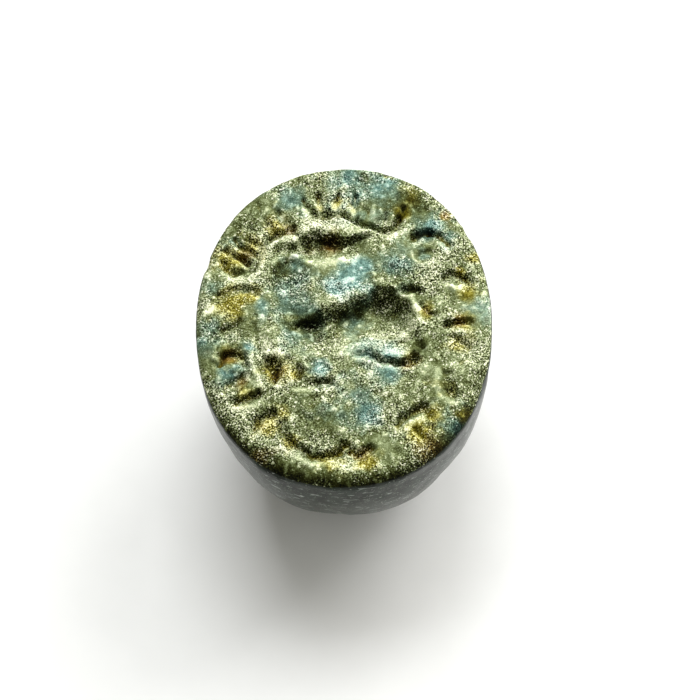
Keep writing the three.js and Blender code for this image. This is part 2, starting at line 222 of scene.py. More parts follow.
# Finer cuts and low ridges, most of them at the antlers, the head, the legs and the tail
FINE_CUTS = [
    dict(path=[(-1.4, 8.6), (-1.6, 9.6)], reach=(0.3, 0.22), depth=(0.06, 0.14)),
    dict(path=[(-0.38, 8.6), (-0.42, 9.5)], reach=(0.28, 0.2), depth=(0.06, 0.13)),
    dict(path=[(0.6, 8.4), (0.65, 9.7)], reach=(0.26, 0.22), depth=(0.06, 0.15)),
    dict(
        path=[(0.75, -2.0), (1.6, -2.2), (2.55, -2.55), (3.4, -2.9), (3.9, -2.95), (4.5, -2.4)],
        reach=(0.14, 0.22), depth=(0.16, 0.18), lean=0.3,
    ),
    dict(path=[(-4.75, -2.4), (-4.4, -3.0), (-4.25, -3.7)], reach=(0.55, 0.3), depth=(0.45, 0.3)),
    dict(path=[(-3.05, -3.0), (-2.95, -3.6)], reach=(0.32, 0.25), depth=(0.35, 0.25)),
    dict(path=[(-1.5, 5.35), (-0.9, 5.1), (-0.4, 5.4)], reach=(0.14, 0.14), depth=(0.12, 0.12)),
    dict(path=[(-3.2, 7.6), (-3.2, 6.9)], reach=(0.12, 0.1), depth=(0.15, 0.1)),
    dict(path=[(-5.5, 8.6), (-5.5, 8.0)], reach=(0.16, 0.12), depth=(0.18, 0.12)),
    dict(path=[(-4.2, 8.9), (-3.2, 7.0), (-2.7, 5.2)], reach=(0.1, 0.06), depth=(0.14, 0.08)),
    dict(path=[(-2.75, 6.6), (-2.72, 4.9)], reach=(0.12, 0.08), depth=(0.15, 0.08)),
]
RIDGES = [
    dict(
        path=[(-5.8, -0.7), (-6.0, -1.5), (-5.9, -2.5), (-5.3, -4.1)],
        reach=(0.4, 0.35), depth=(0.2, 0.2), lean=0.0,
    ),
    dict(path=[(-3.8, -2.9), (-3.6, -3.9)], reach=(0.25, 0.25), depth=(0.15, 0.15), lean=0.0),
    dict(
        path=[(3.4, 2.5), (4.3, 1.9), (4.75, 0.9), (4.9, -0.3)],
        reach=(0.35, 0.4), depth=(0.12, 0.2), lean=0.0,
    ),
    dict(path=[(-3.3, -4.75), (-1.0, -4.65)], reach=(0.4, 0.35), depth=(0.14, 0.14), lean=0.0),
    dict(path=[(-1.5, 1.75), (-0.6, 1.85)], reach=(0.6, 0.5), depth=(0.16, 0.16), lean=0.0),
    dict(path=[(-4.9, -0.1), (-4.4, -1.7)], reach=(0.3, 0.3), depth=(0.14, 0.14), lean=0.0),
    dict(path=[(-1.3, 5.65), (-0.9, 5.65)], reach=(0.4, 0.4), depth=(0.14, 0.14), lean=0.0),
    dict(path=[(-1.8, 7.35), (-1.75, 6.85)], reach=(0.18, 0.16), depth=(0.2, 0.2), lean=0.0),
    dict(path=[(-2.75, 10.3), (-2.6, 10.35)], reach=(0.35, 0.35), depth=(0.12, 0.12), lean=0.0),
    dict(path=[(-4.9, 6.0), (-4.0, 6.5), (-3.1, 6.5)], reach=(0.25, 0.25), depth=(0.12, 0.16), lean=0.0),
    dict(path=[(-7.9, -3.1), (-7.2, -2.9)], reach=(0.5, 0.4), depth=(0.12, 0.12), lean=0.0),
]
# Pale crust and rubbed stone, and painted light, mostly along the lower lips of the cuts that face the
# light:
# path, then half width, which PALE_WIDTH narrows
PALE_AND_LIT_STROKES = [
    (
        [
            (-7.9, 4.2), (-7.2, 3.55), (-6.5, 3.4), (-5.8, 3.9), (-5.3, 5.0), (-4.8, 6.0), (-4.0, 6.5),
            (-3.2, 6.55), (-2.7, 6.1),
        ],
        0.3,
    ),
    ([(-1.8, 7.95), (-0.8, 8.0), (0.2, 7.8), (1.2, 7.35), (2.1, 6.8), (3.2, 6.6), (4.0, 6.7)], 0.24),
    ([(-1.6, 9.4), (-1.45, 8.5)], 0.32),
    ([(-0.5, 9.3), (-0.35, 8.5)], 0.32),
    ([(0.55, 8.8), (0.65, 8.2)], 0.3),
    ([(-2.6, 8.8), (-2.3, 7.6)], 0.28),
    ([(-1.9, 7.35), (-0.8, 7.4), (0.3, 7.2), (1.4, 6.85)], 0.45),
    ([(-4.0, 8.4), (-3.9, 7.6)], 0.3),
    ([(-7.0, 5.0), (-6.2, 4.3)], 0.25),
    ([(-2.4, 4.9), (-1.4, 4.5), (-0.2, 4.7), (0.8, 5.0)], 0.4),
    ([(-4.3, 5.0), (-3.0, 5.2)], 0.25),
    ([(3.5, 2.4), (4.2, 2.0), (4.65, 1.1), (4.9, 0.1), (5.5, -0.2)], 0.25),
    ([(-3.2, -4.6), (-2.2, -4.5), (-1.0, -4.5)], 0.28),
    ([(0.6, -2.5), (1.6, -2.7), (2.6, -3.15), (4.2, -3.1)], 0.25),
    ([(2.6, -1.9), (3.8, -1.95)], 0.28),
    ([(-5.2, -0.4), (-4.9, -1.6), (-3.6, -1.9)], 0.3),
    ([(-4.0, -8.5), (-3.3, -9.1), (-2.2, -9.5), (-0.8, -9.75), (0.6, -9.9)], 0.3),
    ([(-5.9, -7.7), (-5.2, -7.2), (-4.5, -6.7)], 0.3),
    ([(-7.2, -5.6), (-6.2, -5.6), (-5.4, -5.2)], 0.35),
    ([(3.3, -7.6), (4.0, -6.9), (4.7, -6.5)], 0.35),
    ([(5.3, -6.5), (5.8, -6.5)], 0.3),
    ([(4.3, -7.7), (4.6, -8.3)], 0.28),
    ([(5.9, -3.3), (5.7, -4.5), (6.2, -5.4), (6.8, -5.5)], 0.36),
    ([(4.7, 6.0), (5.6, 6.1), (6.3, 5.7), (6.7, 5.2)], 0.3),
    ([(4.4, 5.3), (4.5, 4.6), (5.2, 4.2), (6.0, 4.5)], 0.25),
    ([(6.6, -0.5), (7.6, -0.5)], 0.25),
    ([(6.6, 2.7), (7.3, 2.6)], 0.35),
    ([(-8.9, 1.6), (-8.2, 1.5)], 0.3),
    ([(-6.3, -3.3), (-5.7, -4.0), (-5.0, -4.3)], 0.25),
    ([(-5.8, -0.7), (-6.0, -1.5), (-5.9, -2.5), (-5.3, -4.1)], 0.24),
    ([(-3.75, -2.9), (-3.55, -3.9)], 0.2),
]

# Chips at the edge of the face: angle of the place in degrees, half width, depth
EDGE_CHIPS = [
    (-27, 1.1, 0.22), (-32, 0.9, 0.18), (-118, 0.8, 0.12), (-95, 0.6, 0.1), (152, 0.7, 0.1),
    (38, 0.6, 0.08),
]

# Patches on the face, measured from the middle of the carving: x, y, radius, strength. The blue shows the
# stone's own colour, the pale is rubbed or crusted stone with painted light on lit floors and lower walls of
# the cuts, the dark is soil with painted shade under upper walls and in hollows, and the rust and ochre are
# stains.
BLUE_PATCHES = [
    (0.4, 3.4, 1.3, 1.0), (-0.5, 2.8, 1.0, 0.9), (1.0, 4.3, 0.9, 1.0), (1.2, 2.6, 0.8, 0.7),
    (-3.0, 2.2, 2.2, 0.5), (-3.3, 4.6, 0.8, 0.6), (-2.8, 1.6, 0.8, 0.6), (0.5, 0.5, 0.9, 0.5),
    (3.3, 4.6, 1.8, 0.5), (2.5, 10.4, 1.2, 0.8), (0.6, 11.0, 1.0, 0.8), (-0.3, 10.6, 0.8, 0.6),
    (1.0, 10.2, 2.5, 0.5), (-3.5, 9.4, 1.4, 0.5), (-7.3, 6.3, 0.8, 0.6), (5.8, 7.2, 1.1, 0.9),
    (6.6, 6.3, 0.9, 0.6), (2.5, -3.5, 1.0, 0.7), (1.3, -6.2, 1.1, 0.7), (0.5, -5.3, 2.5, 0.4),
    (-1.6, -3.0, 0.7, 0.8), (-7.4, -3.0, 0.9, 0.9), (-6.2, -1.5, 0.6, 0.8), (-9.0, -0.3, 1.3, 0.55),
    (6.8, -7.2, 1.4, 0.55), (1.3, -1.8, 1.2, 0.6), (-5.3, 1.6, 1.0, 0.5), (5.2, 5.0, 0.6, 0.6),
    (2.9, -2.1, 0.9, 0.65), (-8.4, 3.2, 0.9, 0.4), (8.7, 1.0, 1.4, 0.35), (-3.3, -0.6, 1.3, 0.4),
]
# The pale patches are partly painted light, on the lit floors and lower walls of the cuts
PALE_AND_LIT_PATCHES = [
    (1.0, -1.45, 0.4, 0.8), (1.7, -1.67, 0.4, 0.9), (2.5, -1.95, 0.4, 1.0), (3.3, -2.15, 0.4, 1.0),
    (4.0, -2.05, 0.35, 0.9), (5.0, -3.3, 0.7, 0.9), (-5.5, -3.3, 0.4, 0.7), (8.5, 1.0, 1.3, 0.9),
    (8.2, -1.5, 1.0, 0.6), (7.2, -2.6, 1.0, 0.8), (4.4, 5.6, 0.7, 0.5), (3.6, 6.4, 0.6, 0.5),
    (-1.5, 8.9, 0.3, 1.6), (-0.4, 9.0, 0.3, 1.6), (0.6, 8.5, 0.3, 1.5), (2.0, 8.0, 0.35, 1.0),
    (2.9, 7.95, 0.3, 0.9), (-2.4, 8.5, 0.3, 1.1), (0.6, -0.9, 1.6, 1.0), (2.8, -0.2, 1.3, 0.9),
    (-2.6, -1.3, 1.3, 0.7), (-4.6, -0.9, 0.8, 0.6), (-0.8, 4.7, 1.0, 0.8), (-1.0, 1.8, 0.6, 0.8),
    (2.5, -8.4, 1.0, 0.6), (-6.3, -5.9, 0.9, 0.6), (-8.6, 1.4, 0.5, 0.6), (-7.0, 3.3, 0.7, 0.6),
    (0.0, -4.6, 1.0, 0.3), (3.8, -7.0, 0.6, 0.7), (0.0, -9.7, 1.2, 0.5), (6.9, 2.6, 0.5, 0.7),
    (-1.4, 10.4, 0.8, 0.3), (-8.4, 4.4, 0.6, 0.5),
]
# The dark patches are partly painted shade, under the upper walls of the cuts and in the hollows
SOIL_AND_SHADE_PATCHES = [
    (1.2, -2.05, 0.2, 0.45), (1.6, -2.2, 0.2, 0.45), (2.0, -2.35, 0.2, 0.45), (2.4, -2.5, 0.2, 0.45),
    (2.8, -2.65, 0.2, 0.5), (3.2, -2.8, 0.22, 0.5), (3.6, -2.9, 0.22, 0.5), (4.0, -2.9, 0.25, 0.5),
    (4.4, -2.55, 0.25, 0.5), (-2.3, 5.95, 0.5, 0.45), (-1.4, 6.1, 0.6, 0.6), (-0.2, 6.15, 0.6, 0.6),
    (0.9, 6.3, 0.5, 0.4), (-1.6, 9.7, 0.3, 0.5), (-0.42, 9.65, 0.25, 0.35), (0.65, 9.8, 0.32, 0.5),
    (0.62, 9.2, 0.25, 0.5), (-2.5, 9.05, 0.25, 0.5), (-0.95, 8.9, 0.2, 0.6), (0.1, 8.8, 0.2, 0.6),
    (-4.45, -3.0, 0.55, 0.8), (-2.95, -3.4, 0.35, 0.8), (-1.4, 0.3, 1.0, 0.45), (0.6, 0.5, 1.0, 0.2),
    (2.7, 0.6, 1.2, 0.2), (-3.7, 3.8, 0.9, 0.7), (-2.4, 0.2, 1.4, 0.5), (4.4, 9.2, 1.1, 0.5),
    (-5.0, -5.4, 1.0, 0.5), (3.6, 3.6, 1.0, 0.5), (5.6, 6.5, 0.7, 0.6), (-8.6, -0.3, 1.0, 0.4),
    (4.6, -1.3, 0.5, 0.7), (4.4, 2.5, 0.5, 0.8), (-1.5, -6.8, 1.6, 0.25), (5.5, -9.0, 1.2, 0.5),
    (-6.3, 7.6, 0.9, 0.3), (6.6, -4.4, 0.6, 0.4), (0.8, 2.1, 0.4, 0.2), (-4.7, -2.9, 0.7, 0.6),
]
RUST_PATCHES = [
    (-7.5, -2.0, 0.6, 0.7), (7.3, 0.2, 0.6, 0.6), (0.9, -8.8, 0.6, 0.6), (-6.7, -3.7, 0.5, 0.6),
    (3.9, -2.8, 0.5, 0.5), (-1.0, 6.1, 1.0, 0.6), (-2.0, 6.0, 0.6, 0.5), (5.5, -8.9, 1.2, 0.5),
    (-5.4, -9.0, 0.8, 0.5), (-4.3, -3.2, 0.6, 0.5), (-3.5, 7.2, 0.5, 0.5), (-6.4, 5.6, 0.6, 0.5),
    (-5.2, -6.7, 0.5, 0.4), (5.2, 0.9, 0.5, 0.4), (6.6, 7.9, 0.4, 0.7),
]
OCHRE_PATCHES = [
    (-7.2, 1.9, 1.2, 0.9), (-6.0, 2.4, 0.7, 0.8), (-7.3, 5.2, 1.1, 0.8), (-5.8, 6.2, 0.9, 0.7),
    (-4.4, 7.6, 0.8, 0.8), (-0.4, 9.1, 0.45, 0.8), (-1.5, 8.9, 0.4, 0.5), (0.6, 8.7, 0.4, 0.6),
    (3.8, 8.3, 0.6, 0.8), (4.4, 9.4, 0.8, 0.6), (6.6, 7.9, 0.4, 1.0), (7.9, 2.2, 0.7, 0.9),
    (7.6, 0.0, 0.7, 0.8), (7.3, -1.3, 0.8, 0.6), (5.3, 0.9, 0.6, 0.7), (4.2, -2.5, 0.6, 0.6),
    (-4.4, -3.0, 1.0, 0.9), (-3.3, -3.3, 0.6, 0.7), (-7.2, -2.0, 0.8, 0.8), (-6.4, -4.6, 0.7, 0.6),
    (-5.0, -6.9, 0.8, 0.8), (-3.9, -6.0, 0.5, 0.7), (-3.6, -7.9, 0.6, 0.7), (-0.9, -9.4, 1.0, 0.6),
    (1.2, -9.5, 0.8, 0.9), (4.6, -7.6, 0.9, 1.0), (5.5, -6.4, 0.6, 0.9), (7.4, -6.5, 0.8, 0.6),
    (8.4, 4.8, 0.6, 0.6), (6.2, -4.3, 0.8, 0.4), (-8.0, 6.0, 0.5, 0.5), (7.4, 3.8, 0.4, 0.8),
]

MAP_FINISHES = ("recess_soil_and_shade", "wall_shade", "pale_and_painted_light", "crust", "blue", "ochre", "rust", "light", "dark_soil_and_shade")
FINISHES = MAP_FINISHES + ("face", "bored")

# Face map: the relief is worked out on a fine flat map first
MAP_PITCH = 0.05
MAP_HALF = (10.4, 12.2)
MAP_END = 1.001  # keeps a place that is read from the map just short of its last row and column
HIGHEST = -0.02  # nothing on the face stands above this, measured from the uncut face
DIVIDER = 1e-9  # keeps a distance that is divided by from being nothing

# Worn surface between the cuts: the widths of its soft spots, and their heights, more at the border
FACE_SEED = 7
UNEVEN_WIDTHS = (0.9, 0.28, 0.1)
BROAD_HEIGHT = 0.025
BROAD_AT_BORDER = 0.06
MIDDLE_HEIGHT = 0.022
MIDDLE_AT_BORDER = 0.03
FINE_HEIGHT = 0.012
WORN_AWAY = 0.13
WANDER = [(0.07, 0.35), (0.04, 0.12)]  # how far the edges of the cuts wander, and over what width
PITS = [(420, (0.1, 0.3))]  # number, least and most half width
GRAINS = [(1400, (0.06, 0.18)), (110, (0.18, 0.3))]
PIT_DEPTH = 0.5
GRAIN_HEIGHT = 0.35
FULL_GRAIN = 0.15  # a grain this high is all crust
# The border begins at a share of the way out to an oval round the stag
STAG_OVAL = (6.2, 7.5)
STAG_OVAL_Y = 1
BORDER_START = 0.7
BORDER_MOST = 0.6
# Dark rim along the bottom of the face, painted shade where the worn edge rolls away from the light, told by
# the sine of the angle
SHADE_RIM_FROM = 0.25
SHADE_RIM_OVER = 0.5
SHADE_RIM_STRENGTH = 1.6
SHADE_RIM_WIDTH = 0.7
SHADE_RIM_MOST = 1.3
# Painted shade in the recesses, with the soil they hold, and on the walls of the cuts that face away from
# the light, both found by softening the relief over these widths
NEAR_WIDTH = 0.25
WIDE_WIDTH = 0.9
WALL_WIDTH = 0.12
LEVEL_RECESS = 0.5
WIDE_SHARE = 0.7
MOST_RECESS = 1.2
MOST_WALL_SHADE = 1.4
BORDER_STAIN = 2.5
STAIN_FROM = 0.55
# The face's skin reaches this far down the worn edge, and thins out towards the outline
SKIN_REACH = 0.5
SKIN_GROWTH = 3
SKIN_FADE = 0.4
SKIN_AT_OUTLINE = 0.3
SKIN_WIDTH = 0.2
BORE_FADE = 0.2

# Patterns of the stone's skin: size in millimetres, detail, roughness. The finest are drawn about as coarse
# as the camera can show.
NOISES = [
    ("cloud", 2.4, 2.0, 0.5), ("wide_breaks", 1.1, 2.0, 0.5), ("close_breaks", 0.8, 2.0, 0.5),
    ("middle", 0.9, 3.0, 0.6), ("grain", 0.36, 3.0, 0.65), ("fine", 0.1, 2.0, 0.6),
    ("speck", 0.16, 2.0, 0.7),
]
# Mottle of the face: stronger and calmer with the cloud, and calmer where some finishes lie
MOTTLE_STRENGTH = {"From Min": 0.36, "From Max": 0.64, "To Min": 0.35, "To Max": 1.6}
CALMED_BY = {"blue": -0.6, "light": -0.5, "dark_soil_and_shade": -0.5}
LEAST_MOTTLE = 0.25
PALE_SPECKS = {"From Min": 0.61, "From Max": 0.66}
SPECK_SHARE = 0.42
MIDDLE_OF_NOISE = 0.5
FINE_WEIGHT = 2.75
# Tone of the face, from black 0 to white 1, and how much each pattern and finish moves it
GROUND_TONE = 0.15
# Pale strokes and light patches add painted light; dark patches, recesses and walls darken with painted
# shade
TONE_WEIGHTS = {
    "cloud": 0.2, "middle": 0.28, "grain": 0.28, "pale_and_painted_light": 0.3, "crust": 0.36, "light": 0.15, "dark_soil_and_shade": -0.28,
    "recess_soil_and_shade": -0.21, "wall_shade": -0.2, "blue": 0.1,
}
TONE_STEPS = (0.0, 0.15, 0.3, 0.43, 0.55, 0.69, 0.86, 1.0)
# Colours of the face at those steps: its own green, and the three that lie in patches over it
HUES = {
    "green": ("#060702", "#282909", "#474e28", "#646d44", "#7f8961", "#a1ac82", "#d0d6a8", "#f2f1d6"),
    "blue": ("#050c0b", "#132925", "#314c44", "#506e63", "#709387", "#97b7ac", "#c1d8ca", "#e3efe5"),
    "ochre": ("#090700", "#2a2402", "#4c460b", "#6b6518", "#8a8435", "#b2ab57", "#e0dc85", "#f3efb7"),
    "rust": ("#090400", "#2a1a05", "#4e390f", "#725d22", "#917c44", "#b5a26d", "#ddd29c", "#f3ebca"),
}
# The pattern that breaks up the patches of each colour
PATCH_BREAKS = {"blue": "wide_breaks", "ochre": "close_breaks", "rust": "wide_breaks"}
PATCH_BREAK = 1.2  # how raggedly a patch breaks up at its edge
PATCH_EDGE = {"From Min": PATCH_BREAK / 2 + 0.15, "From Max": PATCH_BREAK / 2 + 0.75}

# Flank: slate with scratches that run round the stone, pale specks, and less polish towards the face
SLATE = ("#090c08", "#2a332b")
SLATE_MOTTLE = {"From Min": 0.3, "From Max": 0.7}
SCRATCH_STRETCH = 6.0
SCRATCH_CROWDING = 2.0
SCRATCH_NOISE = {"Scale": 2.4, "Detail": 2.0, "Roughness": 0.7, "Distortion": 0.6}
SCRATCHES = {"From Min": 0.615, "From Max": 0.67, "To Max": 0.85}
SCRATCH_COLOUR = "#c4ccc4"
FLANK_SPECKS = {"From Min": 0.62, "From Max": 0.69}
FLANK_SPECK_COLOUR = "#a3aa9c"
# Heights on the stone between which the polish grows
RUBBED = {"From Min": 13.2, "From Max": 9.5, "To Min": 0.35, "To Max": 1.0}
RUBBED_IN_HOLE = -0.9
FACE_RAGGEDNESS = 0.7
FACE_LIMIT = {"From Min": 0.65, "From Max": 1.0}
# Surface of the flank and of the face
ROUGHNESS = {"To Min": 0.28, "To Max": 0.8}
FLANK_GLOSS = 0.36
FACE_GLOSS = 0.06
GLOSS_TINT = "#e9f2e0"
BUMP_STRENGTH = {"To Min": 0.06, "To Max": 0.6}
BUMP_HEIGHT = 0.05
GRAIN_BUMP = 2.0

# Camera: the photograph's viewing angle, from straight above the face
VIEW_TILT = 28.2
VIEW_TURN = 3.3
VIEW_ROLL = -0.9
VIEW_DISTANCE = 180.0
NEAREST_SEEN = 5.0
IMAGE_WIDTH = 700
SENSOR = 36.0
PIXELS_PER_MM = 15.7
FACE_MIDDLE_PIXEL = (343.4, 321.2)

# Studio: a white card below, a pale room around and three soft lights
CARD_TOOTH = 2.5
CARD_SHADES = ("#f4f4f2", "#f9f9f7")
CARD_ROUGHNESS = 0.8
ROOM_COLOUR = "#fbfaf1"
ROOM_LIGHT = 0.36
# Lights: name, place, size, power, colour
LIGHTS = [
    ("window", (-30, 205, 331), 240, 1.33, "#f8fafc"),
    ("lamp on the right", (220, 220, 215), 240, 1.2, "#ffffff"),
    ("white card on the right", (85, 5, 40), 50, 0.012, "#ffffff"),
]


def add_camera():
    tilt, turn, roll = (math.radians(a) for a in (VIEW_TILT, VIEW_TURN, VIEW_ROLL))
    back = Vector((math.sin(turn) * math.sin(tilt), -math.cos(turn) * math.sin(tilt), math.cos(tilt)))
    right = (-back).cross(Vector((0, 1, 0))).normalized()
    up = right.cross(-back)
    rolled_right = right * math.cos(roll) + up * math.sin(roll)
    rolled_up = up * math.cos(roll) - right * math.sin(roll)
    data = bpy.data.cameras.new("camera")
    data.sensor_width = SENSOR
    data.lens = PIXELS_PER_MM * VIEW_DISTANCE * SENSOR / IMAGE_WIDTH
    data.shift_x = 0.5 - FACE_MIDDLE_PIXEL[0] / IMAGE_WIDTH
    data.shift_y = FACE_MIDDLE_PIXEL[1] / IMAGE_WIDTH - 0.5
    data.clip_start = NEAREST_SEEN * MM
    camera = bpy.data.objects.new("camera", data)
    place = Vector((0, 0, FACE_HEIGHT)) + back * VIEW_DISTANCE
    turned = Matrix((rolled_right, rolled_up, back)).transposed().to_4x4()
    camera.matrix_world = Matrix.Translation(place * MM) @ turned
    bpy.context.scene.collection.objects.link(camera)
    bpy.context.scene.camera = camera


def linear(code):
    """An sRGB hex colour as linear red, green, blue and alpha."""
    parts = [int(code[i : i + 2], 16) / 255 for i in (1, 3, 5)]
    return [p / 12.92 if p <= 0.04045 else ((p + 0.055) / 1.055) ** 2.4 for p in parts] + [1.0]


def add_node(tree, kind, feeds, output=0, **settings):
    """Adds a node and gives back one of its outputs. feeds gives each input a value, or the output that it
    is linked to; settings are the node's own."""
    node = tree.nodes.new("ShaderNode" + kind)
    for name, value in settings.items():
        setattr(node, name, value)
    for name, value in feeds.items():
        if isinstance(value, bpy.types.NodeSocket):
            tree.links.new(value, node.inputs[name])
        else:
            node.inputs[name].default_value = value
    return node.outputs[output] if node.outputs else None


def outline_radius(angle):
    """Distance from the middle to the outline of the face."""
    x = np.abs(np.cos(angle)) / (FACE_WIDTH / 2)
    y = np.abs(np.sin(angle)) / (FACE_LENGTH / 2)
    return (x**OUTLINE_POWER + y**OUTLINE_POWER) ** (-1 / OUTLINE_POWER)


def edge_radius(angle):
    return EDGE_WEAR - EDGE_WEAR_CHANGE * np.sin(angle)


def face_height(x, y):
    """Height of the uncut face: a low crown that rolls down at the worn edge."""
    angle = np.arctan2(y, x)
    outline = outline_radius(angle)
    radius = edge_radius(angle)
    from_middle = np.hypot(x, y)
    into_edge = np.clip(radius - (outline - from_middle), 0, radius)
    drop = radius - np.sqrt(radius**2 - into_edge**2)
    return FACE_HEIGHT + FACE_CROWN * (1 - (from_middle / outline) ** 2) - drop


def smooth_path(points):
    """Places along a smooth curve through the points, about one step of the cutter apart."""
    p = np.array(points, float)
    q = np.vstack([2 * p[0] - p[1], p, 2 * p[-1] - p[-2]])
    places = []
    for a, b, c, d in zip(q, q[1:], q[2:], q[3:]):
        count = max(2, math.ceil(np.hypot(*(c - b)) / CUTTER_STEP))
        for t in np.arange(count) / count:
            bend = (2 * a - 5 * b + 4 * c - d) * t**2
            twist = (3 * b - a - 3 * c + d) * t**3
            places.append(0.5 * (2 * b + (c - a) * t + bend + twist))
    return np.array(places + [p[-1]])


def part_of_map(x, y, middle_x, middle_y, reach):
    """The rows and columns of the map that lie within reach of a place."""
    left, right = np.searchsorted(x[0], [middle_x - reach, middle_x + reach])
    low, high = np.searchsorted(y[:, 0], [middle_y - reach, middle_y + reach])
    return slice(low, high), slice(left, right)


def groove(x, y, path, reach, depth, lean=USUAL_LEAN, fullness=USUAL_FULLNESS):
    """Depth of one cut at every place of the map: a round mark, moved along a smooth path."""
    result = np.zeros(x.shape)
    places = smooth_path(path)
    for i, (mark_x, mark_y) in enumerate(places):
        share = i / (len(places) - 1)
        mark_reach = reach[0] + (reach[1] - reach[0]) * share
        mark_depth = depth[0] + (depth[1] - depth[0]) * share
        part = part_of_map(x, y, mark_x, mark_y, mark_reach)
        deepest = STEEP_SIDE * lean * mark_reach
        along_x = x[part] - mark_x - deepest[0]
        along_y = y[part] - mark_y - deepest[1]
        distance = np.hypot(along_x, along_y) + DIVIDER
        towards = (deepest[0] * along_x + deepest[1] * along_y) / distance
        to_lip = np.sqrt(np.maximum(towards**2 - deepest @ deepest + mark_reach**2, 0)) - towards
        mark = mark_depth * (1 - np.clip(distance / to_lip, 0, 1) ** fullness)
        result[part] = np.maximum(result[part], mark)
    return result


def joined(parts, sharpness):
    """Deepest of several cuts at each place, with a little softness where two meet."""
    return sum(np.maximum(part, 0) ** sharpness for part in parts) ** (1 / sharpness)


def blurred(values, width):
    """The map softened over a width in millimetres."""
    waves_y = np.fft.fftfreq(values.shape[0], MAP_PITCH)[:, None]
    waves_x = np.fft.rfftfreq(values.shape[1], MAP_PITCH)
    keep = np.exp(-2 * (math.pi * width) ** 2 * (waves_y**2 + waves_x**2))
    return np.fft.irfft2(np.fft.rfft2(values) * keep, s=values.shape)


def uneven(draw, shape, width):
    """A random map with soft spots about as wide as asked, spread evenly about nothing."""
    values = blurred(draw.standard_normal(shape), width)
    return values / values.std()


def spots(x, y, rows):
    """Soft round patches, the strongest of them at each place."""
    result = np.zeros(x.shape)
    for spot_x, spot_y, radius, strength in rows:
        away = ((x - spot_x) ** 2 + (y - spot_y) ** 2) / radius**2
        result = np.maximum(result, strength * np.exp(-away))
    return result


def dots(draw, x, y, groups):
    """Small round pits or grains at random places, each as deep or high as it is half wide."""
    result = np.zeros(x.shape)
    for count, widths in groups:
        places = draw.uniform((-MAP_HALF[0], -MAP_HALF[1]), MAP_HALF, (count, 2))
        for (dot_x, dot_y), width in zip(places, draw.uniform(*widths, count)):
            part = part_of_map(x, y, dot_x, dot_y, width)
            away = ((x[part] - dot_x) ** 2 + (y[part] - dot_y) ** 2) / width**2
            result[part] = np.maximum(result[part], width * np.clip(1 - away, 0, 1))
    return result


def read_map(values, x, y):
    """The map's value at places on the face, worked out between its points."""
    rows = np.clip((y + MAP_HALF[1]) / MAP_PITCH, 0, values.shape[0] - MAP_END)
    columns = np.clip((x + MAP_HALF[0]) / MAP_PITCH, 0, values.shape[1] - MAP_END)
    row, column = rows.astype(int), columns.astype(int)
    up, along = rows - row, columns - column
    lower = values[row, column] * (1 - along) + values[row, column + 1] * along
    upper = values[row + 1, column] * (1 - along) + values[row + 1, column + 1] * along
    return lower * (1 - up) + upper * up


